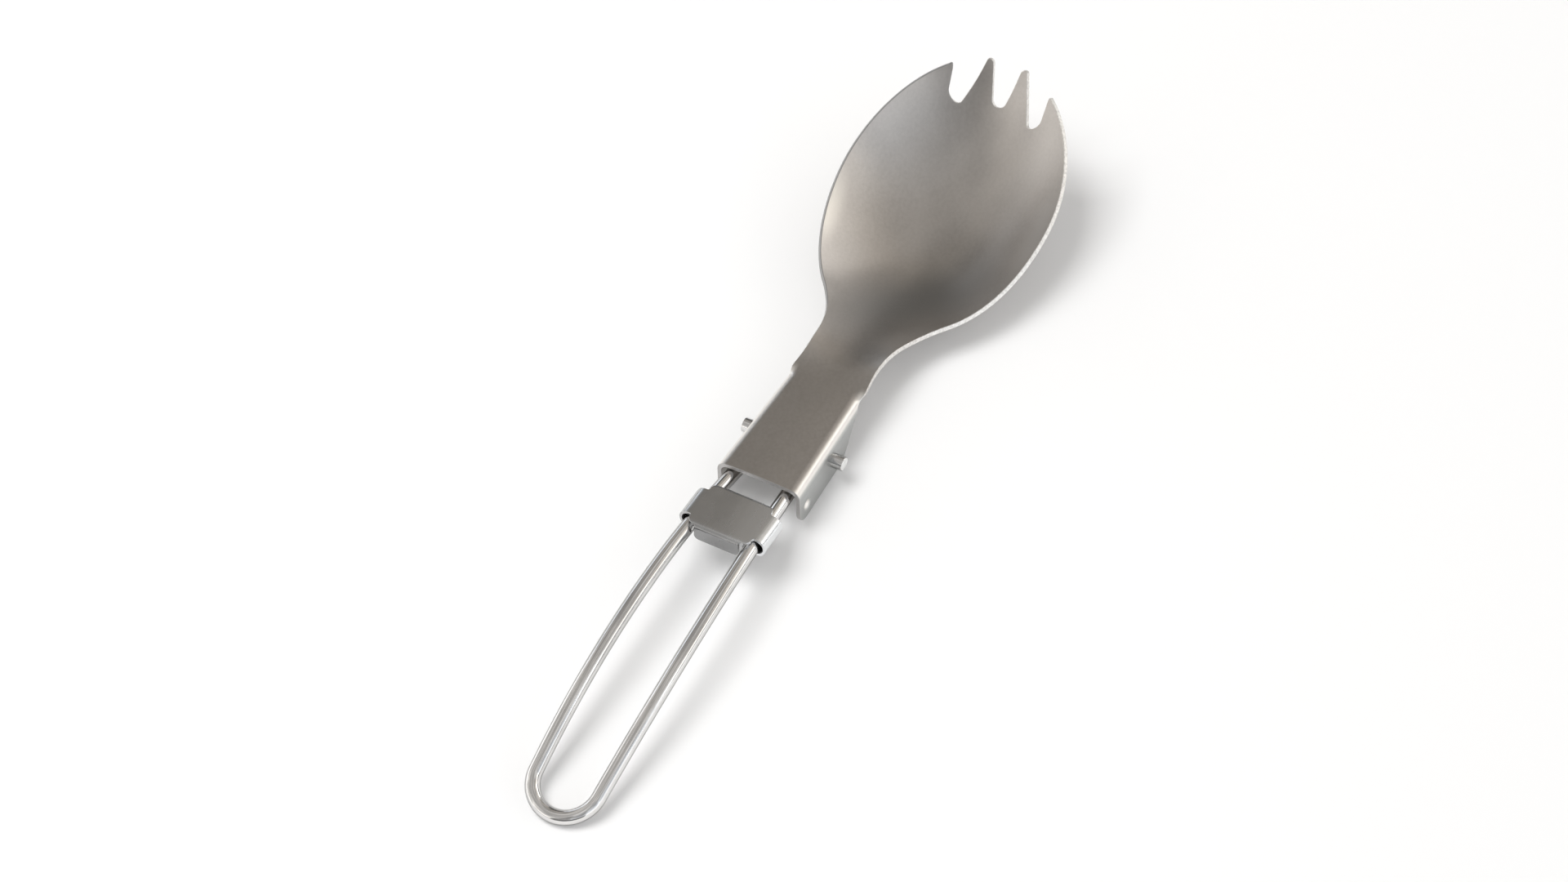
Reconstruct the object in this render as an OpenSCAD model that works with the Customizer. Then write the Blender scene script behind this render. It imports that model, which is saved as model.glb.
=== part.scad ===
// Folding spork: a stamped sheet head whose neck is folded into a channel, a wire loop
// handle hinged in the channel's flanges, and a sheet clip that slides along the wire.
// Lengths are millimetres. The pieces are drawn in the neck's frame: X runs towards the
// tines from the channel's rear edge, Z is up from the channel's top face. seated() then
// tips them to the way the spork lies on a table.

/* [Sheet] */
// Thickness of the head's sheet
sheet_t = 0.8; // [0.6:0.05:1]

/* [Neck channel] */
// Length of the channel, from its rear edge to where its flanges begin
neck_l = 23.7; // [22:0.1:26]
// Width over the flanges at the rear edge
neck_rear_w = 15.8; // [15.4:0.1:17]
// Width over the flanges where they begin
neck_front_w = 14.3; // [14:0.1:15]
// Outer radius of the fold between the top face and a flange
fold_r = 2; // [1.4:0.1:2.6]
// Depth of the flanges below the top face
flange_h = 8.2; // [7.6:0.1:8.4]
// How far forward of the rear edge the flanges keep their full depth
flange_foot_l = 13.7; // [12.6:0.1:14.5]
// Radius of a flange's lower corner at the rear
flange_heel_r = 2.4; // [1:0.1:3]
// Radius of a flange's lower corner at the front
flange_toe_r = 4.9; // [3:0.1:5.5]
// Radius of the hollow corner between a flange and the flat neck
flange_root_r = 3.5; // [2.5:0.1:4.5]
// Radius of the pressed detent in each flange
detent_r = 1.2; // [0.9:0.1:1.4]
// How far the detent stands into the channel
detent_in = 0.35; // [0.2:0.05:0.4]

/* [Bowl] */
// Width of the flat neck just ahead of the flanges
strip_w = 14.2; // [13.6:0.1:14.6]
// Width of the neck at its narrowest
waist_w = 13.4; // [12.6:0.1:14]
// Where the neck is narrowest
throat_x = 29; // [28:0.5:31]
// Where the widening meets the bowl's oval
shoulder_x = 45.4; // [44:0.1:48]
// Where the bowl is widest
widest_x = 68.1; // [66:0.1:70]
// Where the bowl's oval ends at the front
tip_x = 92.3; // [92:0.1:94]
// Width of the bowl
bowl_w = 39.3; // [37:0.1:42]
// Half length of the oval behind the widest place
oval_rear_l = 28.8; // [27:0.1:31]
// Depth of the bowl's floor below the neck's top face
bowl_deep = 5.5; // [5.2:0.1:7]
// Where the floor is lowest
bowl_low_x = 58.9; // [57.5:0.1:60]
// Radius of the floor's rise to the tines, seen from the side
bowl_rise_r = 35.7; // [35.2:0.1:39]
// Height that the neck's edges rise to where the bowl's trough begins
rim_rise = 0.85; // [0:0.05:1.2]
// Where the neck's edges are highest
rim_rise_x = 31.2; // [30.4:0.1:33]
// How far the rim dips below the neck's top face at the throat
rim_dip = 0.65; // [0:0.05:1]
// Where the rim's dip is lowest
rim_dip_x = 42.1; // [40.5:0.1:44]
// Height of the rim where the bowl is widest
rim_mid_h = 5.95; // [5:0.05:7]
// Height of the rim's line at the front end
rim_tip_h = 17.2; // [16.5:0.1:18]

/* [Tines] */
// Where the middle gap's bottom is
mid_gap_x = 88.1; // [87:0.1:88.5]
// Where the bottoms of the side gaps are
side_gap_x = 86.2; // [85:0.1:86.6]
// Distance of a side gap's middle from the centre line
side_gap_y = 7.73; // [7.5:0.01:7.9]
// Radius of a gap's round bottom
gap_r = 1.35; // [1.1:0.05:1.4]
// Distance of an inner tine's tip from the centre line
tine_y = 3.3; // [3.2:0.05:3.4]
// Where the inner tines' tips are
tine_x = 91.9; // [91.3:0.1:91.95]
// Half width of an inner tine near its tip
tine_half_w = 0.72; // [0.6:0.02:0.8]

/* [Wire handle] */
// Diameter of the wire
wire_d = 2.5; // [2.2:0.05:2.5]
// Radius of the handle's arch, seen from the side
arch_r = 143.7; // [138:0.1:150]
// How far behind the channel's rear edge the arch is highest
arch_top_x = 15.4; // [14:0.1:17]
// Depth of the arch's highest place below the neck's top face, at the wire's middle
arch_top_deep = 1.45; // [1.4:0.05:1.7]
// How far behind the channel's rear edge the legs are furthest apart
legs_widest_x = 38; // [36:0.5:40]
// Half distance between the legs' middles there
legs_half_max = 6.3; // [6.2:0.02:6.4]
// Radius of the legs' bow, seen from above
legs_bow_r = 620; // [590:10:660]
// Distance of the end loop's middle from the channel's rear edge
loop_x = 62.6; // [55:0.1:66]
// Distance of the pivot from the channel's rear edge
pivot_x = 12.3; // [12:0.1:12.6]
// Distance between the outer ends of the two pins
pin_span = 19.3; // [18.6:0.1:20.4]
// Radial clearance of a pin in its flange's hole
pivot_gap = 0.05; // [0.02:0.01:0.1]
// Radius of the wire's bend into a pin, at the wire's middle
elbow_r = 1.8; // [1.5:0.1:1.9]
// Chamfer on a pin's end
pin_chamfer = 0.3; // [0.1:0.05:0.5]
// How far the crimped ears stand out from a pin
ear_h = 0.4; // [0.2:0.05:0.6]
// Thickness of the crimped ears
ear_t = 0.6; // [0.4:0.05:0.8]

/* [Sliding clip] */
// Thickness of the clip's sheet
clip_t = 0.5; // [0.4:0.05:0.6]
// Length of the clip, over both lips
clip_l = 10.2; // [9.2:0.1:12]
// Length of the bends that wrap the legs
wrap_l = 6; // [5:0.1:6.6]
// Width of the plate ahead of and behind the bends
plate_w = 11.7; // [10.6:0.1:12]
// Size of the chamfers at the plate's corners
clip_chamfer = 1.4; // [0.8:0.1:1.8]
// Outer radius of the fold from the plate to a lip
lip_fold_r = 0.9; // [0.7:0.05:1.2]
// Depth of the lips below the plate's upper side
lip_h = 3.2; // [2.6:0.1:3.4]
// Width of the rear lip, between the legs
rear_lip_w = 8.4; // [7:0.1:8.6]
// Width of the front lip, between the legs
front_lip_w = 7.2; // [6:0.1:7.4]
// Radius of the lips' lower corners
lip_corner_r = 0.9; // [0.3:0.1:1.2]
// Gap under the clip between the edges of its two bends
seam_w = 7; // [5:0.1:8]
// Clearance between the clip's plate and the wire
clip_gap = 0.15; // [0.12:0.01:0.25]
// Clearance between the clip's bends and the legs where they are widest
clip_side_gap = 0.1; // [0.06:0.01:0.2]
// Distance of the clip's middle from the channel's rear edge
clip_x = 9.3; // [7.5:0.1:14]

/* [Hidden] */
$fn = 48;
overrun = 1;

// Shares that shape the curves
section_power_share = 2;
rim_mid_slope_share = 0.331;
rim_tip_slope_share = 0.57;
front_lean_share = 0.55;
crowding_share = 0.6;
tongue_share = 0.7;

wire_r = wire_d / 2;
neck_taper = atan((neck_rear_w - neck_front_w) / 2 / neck_l);

// A cubic from [place, height, slope] a to the like at b
function cubic(x, a, b) = let (l = b[0] - a[0], t = (x - a[0]) / l)
    (2 * t * t * t - 3 * t * t + 1) * a[1] + (t * t * t - 2 * t * t + t) * l * a[2]
    + (3 * t * t - 2 * t * t * t) * b[1] + (t * t * t - t * t) * l * b[2];

// Half width of the bowl's outline along its length
function rear_oval(x) = let (u = (widest_x - x) / oval_rear_l)
    bowl_w / 2 * sqrt(1 - u * u);
function rear_oval_slope(x) = let (u = (widest_x - x) / oval_rear_l)
    bowl_w / 2 * u / (oval_rear_l * sqrt(1 - u * u));
function front_oval(x) = let (u = (x - widest_x) / (tip_x - widest_x))
    bowl_w / 2 * sqrt(max(0, 1 - u * u));
function half_w(x) =
    x <= throat_x ? cubic(x, [neck_l, strip_w / 2, 0], [throat_x, waist_w / 2, 0])
    : x <= shoulder_x ? cubic(x, [throat_x, waist_w / 2, 0],
        [shoulder_x, rear_oval(shoulder_x), rear_oval_slope(shoulder_x)])
    : x <= widest_x ? rear_oval(x)
    : front_oval(x);

// Height of the rim, and of the floor along the middle
floor_start_x = (neck_l + 3 * throat_x) / 4;
function rim_z(x) =
    x <= floor_start_x ? 0
    : x <= rim_rise_x ? cubic(x, [floor_start_x, 0, 0], [rim_rise_x, rim_rise, 0])
    : x <= rim_dip_x ? cubic(x, [rim_rise_x, rim_rise, 0], [rim_dip_x, -rim_dip, 0])
    : x <= widest_x ? cubic(x, [rim_dip_x, -rim_dip, 0],
        [widest_x, rim_mid_h, rim_mid_slope_share])
    : cubic(x, [widest_x, rim_mid_h, rim_mid_slope_share],
        [tip_x, rim_tip_h, rim_tip_slope_share]);
function floor_z(x) =
    x <= floor_start_x ? 0
    : x <= bowl_low_x ? cubic(x, [floor_start_x, 0, 0], [bowl_low_x, -bowl_deep, 0])
    : let (d = x - bowl_low_x) bowl_rise_r - bowl_deep - sqrt(bowl_rise_r * bowl_rise_r - d * d);

// Height of the sheet's upper side at a place in plan
function sheet_z(x, y) = let (v = min(1, abs(y) / max(half_w(x), sheet_t)))
    floor_z(x) + (rim_z(x) - floor_z(x)) * pow(v, section_power_share);

// The front edge in plan from the centre line out, as [y, x]: half the middle gap, an
// inner tine, a side gap, an outer tine, then the oval's side
arc_steps = 4;
side_steps = 9;
arc_turn = 78;
outer_tine_y = side_gap_y + gap_r + tine_half_w / 3;
outer_tine_x = widest_x + (tip_x - widest_x) * sqrt(1 - pow(2 * outer_tine_y / bowl_w, 2));
oval_from = asin(2 * (outer_tine_y + tine_half_w) / bowl_w);
front_half = concat(
    [for (i = [0 : arc_steps]) let (a = arc_turn * i / arc_steps)
        [gap_r * sin(a), mid_gap_x + front_lean_share * gap_r * (1 - cos(a))]],
    [for (i = [0 : arc_steps]) let (a = arc_turn * (2 * i / arc_steps - 1))
        [tine_y + tine_half_w * sin(a),
         tine_x - front_lean_share * tine_half_w * (1 - cos(a))]],
    [for (i = [0 : 2 * arc_steps]) let (a = arc_turn * (i / arc_steps - 1))
        [side_gap_y + gap_r * sin(a), side_gap_x + front_lean_share * gap_r * (1 - cos(a))]],
    [[outer_tine_y, outer_tine_x - tine_half_w * front_lean_share],
     [outer_tine_y + tine_half_w / 3, outer_tine_x - tine_half_w * front_lean_share / 3]],
    [for (i = [0 : side_steps]) let (a = oval_from + (90 - oval_from) * i / side_steps)
        [bowl_w / 2 * sin(a), widest_x + (tip_x - widest_x) * cos(a)]]
);
front_count = len(front_half);
columns = 2 * front_count - 1;
rows = 35;

// Place in plan of the sheet's grid point in row i, column j. Row 0 is the end of a tongue
// inside the channel's top plate, row 1 the line where the plate ends
function front_at(j) = let (k = j - front_count + 1)
    k < 0 ? [-front_half[-k][0], front_half[-k][1]] : front_half[k];
function plan_at(i, j) = let (
        f = front_at(j),
        t = (i - 1) / (rows - 2),
        x = neck_l + (f[1] - neck_l) * t * (1 + crowding_share * (1 - t)),
        w = x < widest_x ? half_w(x) : bowl_w / 2
    ) [x, f[0] * 2 / bowl_w * w];

// The sheet's upper side there, and its lower side a thickness away along the normal
probe = sheet_t / 10;
function upper_at(i, j) = let (p = plan_at(max(1, i), j)) i == 0
    ? [neck_l - sheet_t, p[1] * tongue_share, -sheet_t / 4]
    : [p[0], p[1], sheet_z(p[0], p[1])];
function normal_at(p) = let (
        inner = p[1] - sign(p[1]) * probe,
        sx = (sheet_z(p[0], p[1]) - sheet_z(p[0] - probe, p[1])) / probe,
        sy = p[1] == 0 ? 0 : (sheet_z(p[0], p[1]) - sheet_z(p[0], inner)) / (p[1] - inner)
    ) [-sx, -sy, 1] / norm([sx, sy, 1]);
function lower_at(i, j) = i < 2
    ? upper_at(i, j) - [0, 0, i == 0 ? sheet_t / 2 : sheet_t]
    : upper_at(i, j) - sheet_t * normal_at(plan_at(i, j));

// Bowl, tines and the flat neck ahead of the channel, as one curved sheet
module bowl_sheet() {
    low = rows * columns;
    points = concat(
        [for (i = [0 : rows - 1], j = [0 : columns - 1]) upper_at(i, j)],
        [for (i = [0 : rows - 1], j = [0 : columns - 1]) lower_at(i, j)]
    );
    faces = concat(
        [for (i = [0 : rows - 2], j = [0 : columns - 2]) let (a = i * columns + j, b = a + columns)
            each [[a, a + 1, b + 1], [a, b + 1, b],
                  [low + a, low + b + 1, low + a + 1], [low + a, low + b, low + b + 1]]],
        [for (j = [0 : columns - 2]) let (a = j, b = (rows - 1) * columns + j)
            each [[a, low + a, low + a + 1], [a, low + a + 1, a + 1],
                  [b + 1, low + b + 1, low + b], [b + 1, low + b, b]]],
        [for (i = [0 : rows - 2]) let (a = i * columns, b = a + columns - 1)
            each [[a + columns, low + a + columns, low + a], [a + columns, low + a, a],
                  [b, low + b, low + b + columns], [b, low + b + columns, b + columns]]]
    );
    polyhedron(points = points, faces = faces);
}

// Side outline of the channel in X and Z
toe_lean = 51;
module channel_outline() {
    heel = [flange_heel_r, flange_heel_r - flange_h];
    toe = [flange_foot_l, flange_toe_r - flange_h];
    root = [neck_l, -sheet_t - flange_root_r];
    polygon(concat(
        [[0, 0]],
        [for (a = [180 : 15 : 270]) heel + flange_heel_r * [cos(a), sin(a)]],
        [for (a = [270 : toe_lean / 4 : 270 + toe_lean]) toe + flange_toe_r * [cos(a), sin(a)]],
        [for (a = [90 + toe_lean : -toe_lean / 4 : 90]) root + flange_root_r * [cos(a), sin(a)]],
        [[neck_l, 0]]
    ));
}

// One side of the channel laid along X, the flange's outer face at y = 0: half the top
// plate, the fold and the flange with its detent
detent_x = 1.1 * flange_heel_r;
detent_z = -0.66 * flange_h;
ball_r = (detent_r * detent_r + detent_in * detent_in) / (2 * detent_in);
module folded_side() {
    long = neck_l + 2 * overrun;
    difference() {
        union() {
            translate([-overrun, 0, 0])
                rotate([90, 0, 90])
                    linear_extrude(long)
                        fold_section();
            intersection() {
                translate([detent_x, ball_r - sheet_t - detent_in, detent_z])
                    sphere(ball_r);
                translate([detent_x, -sheet_t / 2, detent_z])
                    rotate([90, 0, 0])
                        cylinder(r = detent_r, h = sheet_t);
            }
        }
        translate([detent_x, ball_r - detent_in, detent_z])
            sphere(ball_r);
    }
}

// Section across the top plate's half, the fold and the flange
module fold_section() {
    difference() {
        union() {
            translate([-neck_rear_w / 2 - fold_r, -sheet_t])
                square([neck_rear_w / 2, sheet_t]);
            translate([-fold_r, -fold_r])
                circle(fold_r);
            translate([-sheet_t, -flange_h - overrun])
                square([sheet_t, flange_h + overrun - fold_r]);
        }
        translate([-fold_r, -fold_r])
            circle(fold_r - sheet_t);
        translate([-2 * fold_r - overrun, -2 * fold_r])
            square([2 * fold_r + overrun - sheet_t, fold_r]);
        translate([-2 * fold_r - overrun, -2 * fold_r])
            square([fold_r + overrun, 2 * fold_r - sheet_t]);
    }
}

// Channel of the neck: top plate and two flanges, with the pivot holes
module neck_channel() {
    difference() {
        for (side = [0, 1])
            mirror([0, side, 0])
                intersection() {
                    translate([0, neck_rear_w / 2, 0])
                        rotate([0, 0, -neck_taper])
                            folded_side();
                    rotate([90, 0, 0])
                        translate([0, 0, -neck_rear_w])
                            linear_extrude(neck_rear_w)
                                channel_outline();
                }
        translate([pivot_x, 0, pivot_z])
            rotate([90, 0, 0])
                cylinder(r = wire_r + pivot_gap, h = neck_rear_w + 2 * overrun, center = true);
    }
}

// Stamped head: channel, neck, bowl and tines in one piece
module head() {
    color([0.49, 0.46, 0.43])
        seated() {
            neck_channel();
            bowl_sheet();
        }
}

// Height of the wire's middle, and half distance of the legs' middles, at a place x
function arch_z(x) = let (d = x + arch_top_x)
    sqrt(arch_r * arch_r - d * d) - arch_r - arch_top_deep;
function leg_y(x) = let (d = x + legs_widest_x)
    legs_half_max - d * d / (2 * legs_bow_r);
pivot_z = arch_z(pivot_x);

// Plan of the wire's left half, from the pin's root to the loop's end
leg_steps = 20;
bend_steps = 8;
elbow_lean = atan((pivot_x - elbow_r + legs_widest_x) / legs_bow_r);
leg_from_x = pivot_x - elbow_r * (1 + sin(elbow_lean));
root_y = leg_y(leg_from_x) + elbow_r * cos(elbow_lean);
loop_lean = atan((loop_x - legs_widest_x) / legs_bow_r);
loop_r = leg_y(-loop_x) / cos(loop_lean);
loop_fore = cos(asin((loop_x + loop_r / 2 - arch_top_x) / arch_r));
leg_to_x = -loop_x - loop_r * loop_fore * sin(loop_lean);
wire_half = concat(
    [[pivot_x, root_y + wire_r / 4]],
    [for (i = [0 : bend_steps]) let (a = -(90 + elbow_lean) * i / bend_steps)
        [pivot_x - elbow_r + elbow_r * cos(a), root_y + elbow_r * sin(a)]],
    [for (i = [1 : leg_steps - 1]) let (x = leg_from_x + (leg_to_x - leg_from_x) * i / leg_steps)
        [x, leg_y(x)]],
    [for (i = [0 : bend_steps]) let (a = loop_lean + (90 - loop_lean) * i / bend_steps)
        [-loop_x - loop_r * loop_fore * sin(a), loop_r * cos(a)]]
);
half_count = len(wire_half);
wire_count = 2 * half_count - 1;
ring_count = 20;
ring_r = 0.998 * wire_r;

// Middle of the wire at step k, and the ring of its skin there
function wire_at(k) = let (
        c = max(0, min(wire_count - 1, k)),
        p = c < half_count ? wire_half[c] : wire_half[wire_count - 1 - c],
        s = c < half_count ? 1 : -1
    ) [p[0], s * p[1], arch_z(p[0])];
function wire_ring(k) = let (
        p = wire_at(k),
        ahead = wire_at(k + 1) - wire_at(k - 1),
        along = k == 0 || k == wire_count - 1 ? [0, -1, 0] : ahead / norm(ahead),
        up = [p[0] + arch_top_x, 0, p[2] + arch_top_deep + arch_r] / arch_r,
        side = cross(along, up)
    ) [for (i = [0 : ring_count - 1]) let (a = 360 * i / ring_count)
        p + ring_r * (cos(a) * up + sin(a) * side)];

// Legs, loop and elbows, swept along the wire's path
module wire_sweep() {
    last = (wire_count - 1) * ring_count;
    points = [for (k = [0 : wire_count - 1]) each wire_ring(k)];
    faces = concat(
        [[for (i = [0 : ring_count - 1]) i]],
        [for (k = [0 : wire_count - 2], i = [0 : ring_count - 1]) let (
                a = k * ring_count + i,
                b = k * ring_count + (i + 1) % ring_count
            ) each [[a, a + ring_count, b + ring_count], [a, b + ring_count, b]]],
        [[for (i = [ring_count - 1 : -1 : 0]) last + i]]
    );
    polyhedron(points = points, faces = faces);
}

// One pin along Y with its chamfered end and its crimped ears outside the flange
ear_y = neck_rear_w / 2 - pivot_x * tan(neck_taper) + sheet_t / 5;
module pin() {
    pin_from = root_y + wire_r / 8;
    pin_l = pin_span / 2 - pin_from - pin_chamfer;
    translate([pivot_x, pin_from, pivot_z])
        rotate([-90, 0, 0]) {
            cylinder(r = wire_r, h = pin_l);
            translate([0, 0, pin_l])
                cylinder(r1 = wire_r, r2 = wire_r - pin_chamfer, h = pin_chamfer);
        }
    translate([pivot_x, ear_y, pivot_z])
        rotate([-90, 0, 0])
            intersection() {
                cylinder(r = wire_r + ear_h, h = ear_t);
                translate([-wire_d, -wire_r * 0.6, 0])
                    cube([2 * wire_d, 1.2 * wire_r, ear_t]);
            }
}

// Wire handle: one wire bent into a loop, its two ends the pivot pins
module wire_handle() {
    color([0.78, 0.78, 0.77])
        seated() {
            wire_sweep();
            for (side = [0, 1])
                mirror([0, side, 0])
                    pin();
        }
}

// Section across the clip's bends: a band round both legs, open underneath
clip_half_h = wire_r + clip_gap + clip_t;
clip_half_w = legs_half_max + wire_r + clip_side_gap + clip_t;
module bend_section() {
    difference() {
        stadium(clip_half_w, clip_half_h);
        stadium(clip_half_w - clip_t, clip_half_h - clip_t);
        translate([-seam_w / 2, -clip_half_h - overrun])
            square([seam_w, clip_half_h + overrun]);
    }
}

// Flat oval of half width w with round ends of radius r
module stadium(w, r) {
    translate([r - w, -r])
        square([2 * (w - r), 2 * r]);
    for (side = [1, -1])
        translate([side * (w - r), 0])
            circle(r);
}

// Block of length l from height low to high, with its two upper corners round
module round_top(l, low, high, r) {
    translate([-l / 2, low])
        square([l, high - r - low]);
    translate([r - l / 2, low])
        square([l - 2 * r, high - low]);
    for (side = [1, -1])
        translate([side * (l / 2 - r), high - r])
            circle(r);
}

// Side view of the plate and its two lips
module lip_section() {
    low = clip_half_h - lip_h;
    difference() {
        round_top(clip_l, low, clip_half_h, lip_fold_r);
        round_top(clip_l - 2 * clip_t, low - overrun, clip_half_h - clip_t, lip_fold_r - clip_t);
    }
}

// The plate's end seen along X, with a lip of width w under it
module lip_face(w) {
    low = clip_half_h - lip_h;
    translate([-plate_w / 2, clip_half_h - clip_t])
        square([plate_w, clip_t + overrun]);
    translate([-w / 2, low + lip_corner_r])
        square([w, lip_h - lip_corner_r]);
    translate([lip_corner_r - w / 2, low])
        square([w - 2 * lip_corner_r, lip_h]);
    for (side = [1, -1])
        translate([side * (w / 2 - lip_corner_r), low + lip_corner_r])
            circle(lip_corner_r);
}

// Outline of the plate seen from above, chamfered at its four corners
module plate_outline() {
    end_x = clip_l / 2 + clip_t / 10;
    side_y = plate_w / 2;
    polygon([
        [end_x, side_y - clip_chamfer], [end_x - clip_chamfer, side_y],
        [clip_chamfer - end_x, side_y], [-end_x, side_y - clip_chamfer],
        [-end_x, clip_chamfer - side_y], [clip_chamfer - end_x, -side_y],
        [end_x - clip_chamfer, -side_y], [end_x, clip_chamfer - side_y]
    ]);
}

// Plate with its lips
module clip_plate() {
    intersection() {
        rotate([90, 0, 0])
            linear_extrude(plate_w + 2 * overrun, center = true)
                lip_section();
        rotate([90, 0, 90]) {
            linear_extrude(clip_l)
                lip_face(front_lip_w);
            translate([0, 0, -clip_l])
                linear_extrude(clip_l)
                    lip_face(rear_lip_w);
        }
        translate([0, 0, -clip_half_h - overrun])
            linear_extrude(2 * clip_half_h + 2 * overrun)
                plate_outline();
    }
}

// Sliding clip, in line with the arch where it stands
clip_lean = asin((arch_top_x - clip_x) / arch_r);
module slide_lock() {
    color([0.42, 0.42, 0.42])
        seated()
            translate([-clip_x, 0, arch_z(-clip_x)])
                rotate([0, clip_lean, 0]) {
                    translate([-wrap_l / 2, 0, 0])
                        rotate([90, 0, 90])
                            linear_extrude(wrap_l)
                                bend_section();
                    clip_plate();
                }
}

// Tips a piece from the neck's frame to the way the spork lies, on the bowl and on the
// handle's loop, and moves the origin under the middle of its box
bowl_mid = [bowl_low_x, bowl_rise_r - bowl_deep];
loop_end = [-loop_x - loop_r * loop_fore, arch_z(-loop_x - loop_r * loop_fore)];
rest_a = bowl_mid[0] - loop_end[0];
rest_b = bowl_mid[1] - loop_end[1];
rest_k = bowl_rise_r + sheet_t - wire_r;
rest_tilt = atan2(rest_b, rest_a) - asin(rest_k / norm([rest_a, rest_b]));
table_z = bowl_mid[1] * cos(rest_tilt) - bowl_mid[0] * sin(rest_tilt)
    - bowl_rise_r - sheet_t;
rear_end = loop_end[0] * cos(rest_tilt) + loop_end[1] * sin(rest_tilt) - wire_r;
front_end = max([for (j = [0 : columns - 1]) let (p = lower_at(rows - 1, j))
    p[0] * cos(rest_tilt) + p[2] * sin(rest_tilt)]);
module seated() {
    translate([-(front_end + rear_end) / 2, 0, -table_z])
        rotate([0, rest_tilt, 0])
            children();
}

head();
wire_handle();
slide_lock();
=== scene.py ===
"""Folding spork on a plain pale floor: the stamped head, the wire handle and the sliding clip.

Each sheet piece is cut from a flat blank, folded by its own formula and given its
thickness and its softened edges. The wire is swept along its bent path. Sizes are
millimetres in the neck's own frame, as the maker would give them, and Seat tips them to
the way the spork lies on the table.
"""
import logging
import math
from dataclasses import dataclass, field
from enum import Enum

import bpy
import numpy as np
from mathutils import Euler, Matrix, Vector
from mathutils.geometry import delaunay_2d_cdt


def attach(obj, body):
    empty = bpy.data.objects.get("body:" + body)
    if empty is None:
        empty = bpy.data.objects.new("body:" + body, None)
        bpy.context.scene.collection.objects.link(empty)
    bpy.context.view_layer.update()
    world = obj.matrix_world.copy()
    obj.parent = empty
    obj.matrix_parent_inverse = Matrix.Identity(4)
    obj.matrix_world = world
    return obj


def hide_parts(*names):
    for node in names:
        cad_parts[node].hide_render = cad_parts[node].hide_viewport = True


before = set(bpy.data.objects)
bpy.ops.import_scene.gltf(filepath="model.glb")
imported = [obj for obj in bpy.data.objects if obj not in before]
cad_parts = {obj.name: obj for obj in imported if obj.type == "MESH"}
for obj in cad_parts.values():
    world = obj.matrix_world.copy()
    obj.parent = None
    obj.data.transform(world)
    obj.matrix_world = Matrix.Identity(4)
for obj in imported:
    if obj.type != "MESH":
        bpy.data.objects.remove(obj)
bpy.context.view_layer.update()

log = logging.getLogger("spork")

# Metres in a millimetre, and the least length that a direction is divided by
MM = 0.001
TINY = 1e-12

# Radius of the wire, and the pivot's distance from the neck's rear edge, in millimetres
WIRE_R = 1.25
PIVOT_X = 12.3

# Distance of the lamps from the spork, in metres
TENT_R = 1.2

# Noise values over which a spread and a tint go from their low end to their high end
SPREAD_OVER = (0.3, 0.7)
TINT_OVER = (0.35, 0.65)

Span = tuple[float, float]
Triple = tuple[float, float, float]
Socket = bpy.types.NodeSocket


class Body(Enum):
    """Rigid bodies of the spork that pieces ride on."""

    HEAD = "head"
    HANDLE = "handle"
    CLIP = "clip"


class Slot(Enum):
    """Material slots that the pieces' finishes stand for."""

    SHEET = "head_sheet"
    WIRE = "wire"
    CLIP = "clip_sheet"


def cubic(x: np.ndarray, a: Triple, b: Triple) -> np.ndarray:
    """Cubic between two ends with given heights and slopes.

    Args:
        x: places at which it is wanted.
        a: place, height and slope of the first end.
        b: place, height and slope of the second end.

    Returns:
        The heights at x.
    """
    length = b[0] - a[0]
    t = (x - a[0]) / length
    return (
        (2 * t**3 - 3 * t**2 + 1) * a[1]
        + (t**3 - 2 * t**2 + t) * length * a[2]
        + (3 * t**2 - 2 * t**3) * b[1]
        + (t**3 - t**2) * length * b[2]
    )


def smooth_step(t: np.ndarray) -> np.ndarray:
    """Soft ramp from 0 to 1 as t goes from 0 to 1."""
    t = np.clip(t, 0.0, 1.0)
    return t * t * t * (t * (6 * t - 15) + 10)


def unit(v: np.ndarray) -> np.ndarray:
    """Rows of v at length one."""
    return v / np.maximum(np.linalg.norm(v, axis=-1, keepdims=True), TINY)


def arc(centre: Span, radii: Span, start: float, stop: float, steps: int) -> np.ndarray:
    """Points along an arc of an ellipse in a blank.

    Args:
        centre: middle of the ellipse.
        radii: half axes.
        start: first angle in degrees.
        stop: last angle in degrees.
        steps: number of steps.

    Returns:
        The points, one row each.
    """
    a = np.radians(np.linspace(start, stop, steps + 1))
    return np.stack([centre[0] + radii[0] * np.cos(a), centre[1] + radii[1] * np.sin(a)], 1)


def ring(centre: Span, radius: float, count: int) -> np.ndarray:
    """Points round a circle in a blank."""
    return arc(centre, (radius, radius), 0, 360 - 360 / count, count - 1)


def spaced(points: np.ndarray, step: float) -> np.ndarray:
    """Line of points with its long stretches cut to about a step.

    Args:
        points: corners of an open line.
        step: longest stretch wanted.

    Returns:
        The corners with the points between them.
    """
    rows = [points[:1]]
    for a, b in zip(points[:-1], points[1:]):
        count = max(1, int(math.ceil(float(np.linalg.norm(b - a)) / step)))
        rows.append(a + (b - a) * (np.arange(1, count + 1) / count)[:, None])
    return np.concatenate(rows)


def closed(half: np.ndarray) -> np.ndarray:
    """Half an outline, from the middle line round to it again, with its mirror image."""
    return np.concatenate([half, half[1:-1][::-1] * np.array([1, -1])])


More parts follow.
